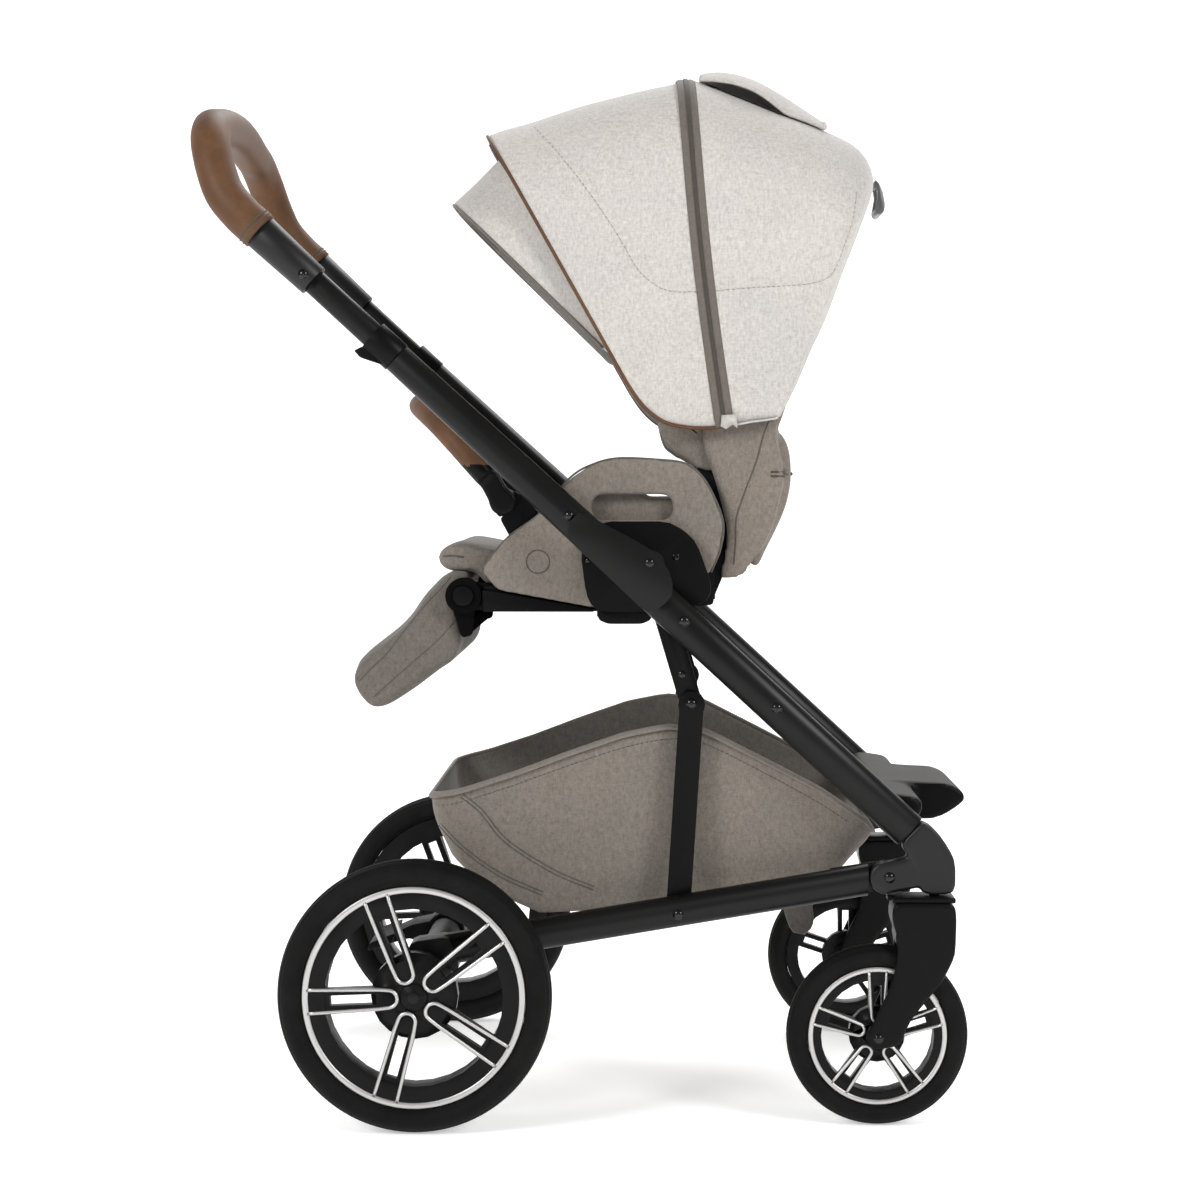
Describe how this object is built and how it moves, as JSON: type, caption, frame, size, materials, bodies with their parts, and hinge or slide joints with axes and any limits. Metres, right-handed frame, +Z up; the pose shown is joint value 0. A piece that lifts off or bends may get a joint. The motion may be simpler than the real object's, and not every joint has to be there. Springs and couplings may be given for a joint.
{
  "type": "baby stroller",
  "caption": "Folding baby stroller with swivel front casters, large rear wheels, under-seat basket, reclining parent-facing seat, arm bar, calf rest and fold-back canopy.",
  "frame": {"origin": "on the floor, under the middle of the stroller's length and width", "axes": "+X forward, the way the small swivel wheels lead; +Y to the stroller's left; +Z up"},
  "size_m": [0.8516, 0.595, 1.137],
  "materials": {
    "frame": "satin powder coat",
    "plastic": "fine moulded grain",
    "button": "smooth",
    "bow": "smooth",
    "tyre": "matt, fine ribs",
    "rim": "black with machined silver edges",
    "leather": "brown, stitched",
    "linen": "taupe linen weave",
    "felt": "off-white melange",
    "steel": "satin"
  },
  "bodies": {
    "chassis": {"lower_tube_left": "frame", "lower_tube_right": "frame", "front_knuckle_left": "plastic", "front_knuckle_right": "plastic", "seat_socket_left": "plastic", "seat_socket_right": "plastic", "front_crossbar": "plastic"},
    "rear_frame": {"base_rail_left": "frame", "base_rail_right": "frame", "rear_axle": "frame", "basket": "linen"},
    "brake": {"brake_pedal": "plastic"},
    "upper_frame": {"upper_tube_left": "frame", "upper_tube_right": "frame"},
    "handle": {"handle_tube_left": "frame", "handle_tube_right": "frame", "handle_cap_left": "plastic", "handle_cap_right": "plastic", "handle_grip": "leather"},
    "handle_button": {"handle_button": "plastic"},
    "seat": {"seat_frame": "plastic", "seat_cushion": "linen", "harness_buckle": "plastic", "side_panel_left": "linen", "side_panel_right": "linen"},
    "buckle_button": {"buckle_button": "button"},
    "calf_rest": {"calf_frame": "plastic", "calf_pad": "linen"},
    "arm_bar": {"arm_bar": "leather"},
    "backrest": {"back_shell": "linen", "back_pad": "linen", "canopy_rear": "felt"},
    "recline_handle": {"recline_handle": "steel"},
    "canopy_mid": {"canopy_bow_mid": "bow"},
    "canopy_front": {"canopy_front": "felt", "canopy_bow_front": "bow"},
    "canopy_visor": {"canopy_visor": "linen"},
    "canopy_flap": {"canopy_flap": "felt"},
    "rear_wheel_left": {"rear_tyre_left": "tyre", "rear_rim_left": "rim"},
    "front_wheel_left": {"front_tyre_left": "tyre", "front_rim_left": "rim"},
    "strut_lower_left": {"strut_lower_left": "plastic"},
    "strut_upper_left": {"strut_upper_left": "plastic"},
    "fold_trigger_left": {"fold_trigger_left": "plastic"},
    "swivel_lock_left": {"swivel_lock_left": "plastic"},
    "seat_latch_left": {"seat_latch_left": "plastic"},
    "calf_button_left": {"calf_button_left": "plastic"},
    "caster_left": {"caster_fork_left": "plastic"},
    "rear_wheel_right": {"rear_tyre_right": "tyre", "rear_rim_right": "rim"},
    "front_wheel_right": {"front_tyre_right": "tyre", "front_rim_right": "rim"},
    "strut_lower_right": {"strut_lower_right": "plastic"},
    "strut_upper_right": {"strut_upper_right": "plastic"},
    "fold_trigger_right": {"fold_trigger_right": "plastic"},
    "swivel_lock_right": {"swivel_lock_right": "plastic"},
    "seat_latch_right": {"seat_latch_right": "plastic"},
    "calf_button_right": {"calf_button_right": "plastic"},
    "caster_right": {"caster_fork_right": "plastic"}
  },
  "joints": [
    {"name": "fold", "type": "hinge", "parent": "chassis", "child": "upper_frame", "pos_m": [0.0751, 0, 0.598], "axis": [0, 1, 0], "range_deg": [0, 128]},
    {"name": "rear_fold", "type": "hinge", "parent": "chassis", "child": "rear_frame", "pos_m": [0.3261, 0, 0.265], "axis": [0, 1, 0], "range_deg": [0, 25.6], "deforming": ["basket"]},
    {"name": "strut_upper_left_turn", "type": "hinge", "parent": "chassis", "child": "strut_upper_left", "pos_m": [0.0751, 0, 0.598], "axis": [0, 1, 0], "range_deg": [-42.6, 0]},
    {"name": "strut_lower_left_turn", "type": "hinge", "parent": "rear_frame", "child": "strut_lower_left", "pos_m": [0.1061, 0, 0.225], "axis": [0, 1, 0], "range_deg": [-7.3, 0]},
    {"name": "rear_wheel_left_spin", "type": "hinge", "parent": "rear_frame", "child": "rear_wheel_left", "pos_m": [-0.1719, 0.275, 0.145], "axis": [0, 1, 0], "continuous": true},
    {"name": "caster_left_swivel", "type": "hinge", "parent": "chassis", "child": "caster_left", "pos_m": [0.3791, 0.229, 0.24], "axis": [0, 0, 1], "continuous": true},
    {"name": "front_wheel_left_spin", "type": "hinge", "parent": "caster_left", "child": "front_wheel_left", "pos_m": [0.3181, 0.229, 0.0967], "axis": [0, 1, 0], "continuous": true},
    {"name": "swivel_lock_left_slide", "type": "slide", "parent": "caster_left", "child": "swivel_lock_left", "axis": [-1, 0, 0], "range_m": [0, 0.004]},
    {"name": "fold_trigger_left_slide", "type": "slide", "parent": "upper_frame", "child": "fold_trigger_left", "axis": [-0.735, 0, 0.678], "range_m": [0, 0.008], "stiffness_N_per_m": 300},
    {"name": "seat_latch_left_press", "type": "slide", "parent": "seat", "child": "seat_latch_left", "axis": [0, -1, 0], "range_m": [0, 0.004], "stiffness_N_per_m": 300},
    {"name": "calf_button_left_press", "type": "slide", "parent": "calf_rest", "child": "calf_button_left", "axis": [0, -1, 0], "range_m": [0, 0.003], "stiffness_N_per_m": 300},
    {"name": "strut_upper_right_turn", "type": "hinge", "parent": "chassis", "child": "strut_upper_right", "pos_m": [0.0751, 0, 0.598], "axis": [0, 1, 0], "range_deg": [-42.6, 0]},
    {"name": "strut_lower_right_turn", "type": "hinge", "parent": "rear_frame", "child": "strut_lower_right", "pos_m": [0.1061, 0, 0.225], "axis": [0, 1, 0], "range_deg": [-7.3, 0]},
    {"name": "rear_wheel_right_spin", "type": "hinge", "parent": "rear_frame", "child": "rear_wheel_right", "pos_m": [-0.1719, -0.275, 0.145], "axis": [0, 1, 0], "continuous": true},
    {"name": "caster_right_swivel", "type": "hinge", "parent": "chassis", "child": "caster_right", "pos_m": [0.3791, -0.229, 0.24], "axis": [0, 0, 1], "continuous": true},
    {"name": "front_wheel_right_spin", "type": "hinge", "parent": "caster_right", "child": "front_wheel_right", "pos_m": [0.3181, -0.229, 0.0967], "axis": [0, 1, 0], "continuous": true},
    {"name": "swivel_lock_right_slide", "type": "slide", "parent": "caster_right", "child": "swivel_lock_right", "axis": [-1, 0, 0], "range_m": [0, 0.004]},
    {"name": "fold_trigger_right_slide", "type": "slide", "parent": "upper_frame", "child": "fold_trigger_right", "axis": [-0.735, 0, 0.678], "range_m": [0, 0.008], "stiffness_N_per_m": 300},
    {"name": "seat_latch_right_press", "type": "slide", "parent": "seat", "child": "seat_latch_right", "axis": [0, 1, 0], "range_m": [0, 0.004], "stiffness_N_per_m": 300},
    {"name": "calf_button_right_press", "type": "slide", "parent": "calf_rest", "child": "calf_button_right", "axis": [0, 1, 0], "range_m": [0, 0.003], "stiffness_N_per_m": 300},
    {"name": "brake_press", "type": "hinge", "parent": "rear_frame", "child": "brake", "pos_m": [-0.1599, 0, 0.168], "axis": [0, 1, 0], "range_deg": [-18, 0]},
    {"name": "handle_height", "type": "slide", "parent": "upper_frame", "child": "handle", "axis": [-0.735, 0, 0.678], "range_m": [-0.065, 0.04]},
    {"name": "handle_button_press", "type": "slide", "parent": "handle", "child": "handle_button", "axis": [1, 0, 0], "range_m": [0, 0.004], "stiffness_N_per_m": 400},
    {"name": "seat_lift", "type": "slide", "parent": "chassis", "child": "seat", "axis": [0, 0, 1], "range_m": [0, 0.045]},
    {"name": "buckle_press", "type": "slide", "parent": "seat", "child": "buckle_button", "axis": [0.9, 0, -0.436], "range_m": [0, 0.002], "stiffness_N_per_m": 400},
    {"name": "calf_tilt", "type": "hinge", "parent": "seat", "child": "calf_rest", "pos_m": [-0.1269, 0, 0.562], "axis": [0, 1, 0], "range_deg": [-10, 36]},
    {"name": "arm_bar_tilt", "type": "hinge", "parent": "seat", "child": "arm_bar", "pos_m": [-0.0839, 0, 0.664], "axis": [0, 1, 0], "range_deg": [-40, 0]},
    {"name": "recline", "type": "hinge", "parent": "seat", "child": "backrest", "pos_m": [0.1501, 0, 0.6], "axis": [0, 1, 0], "range_deg": [0, 50]},
    {"name": "recline_pull", "type": "slide", "parent": "backrest", "child": "recline_handle", "axis": [1, 0, 0], "range_m": [0, 0.01], "stiffness_N_per_m": 300},
    {"name": "canopy_fold", "type": "hinge", "parent": "backrest", "child": "canopy_mid", "pos_m": [0.1501, 0, 0.738], "axis": [0, 1, 0], "range_deg": [0, 30], "deforming": ["canopy_rear"]},
    {"name": "canopy_front_fold", "type": "hinge", "parent": "canopy_mid", "child": "canopy_front", "pos_m": [0.1501, 0, 0.738], "axis": [0, 1, 0], "range_deg": [0, 30], "deforming": ["canopy_front"]},
    {"name": "visor_tuck", "type": "hinge", "parent": "canopy_front", "child": "canopy_visor", "pos_m": [0.1501, 0, 0.738], "axis": [0, -1, 0], "range_deg": [-12, 0]},
    {"name": "flap_lift", "type": "hinge", "parent": "canopy_mid", "child": "canopy_flap", "pos_m": [0.1251, 0, 1.1355], "axis": [0, 1, 0], "range_deg": [-170, 0]}
  ],
  "couplings": [
    {"joint": "rear_fold", "follows": "fold", "ratio": 0.2},
    {"joint": "canopy_front_fold", "follows": "canopy_fold", "ratio": 1},
    {"joint": "strut_upper_left_turn", "follows": "fold", "ratio": -0.3323},
    {"joint": "strut_lower_left_turn", "follows": "fold", "ratio": -0.0564},
    {"joint": "strut_upper_right_turn", "follows": "fold", "ratio": -0.3323},
    {"joint": "strut_lower_right_turn", "follows": "fold", "ratio": -0.0564}
  ]
}
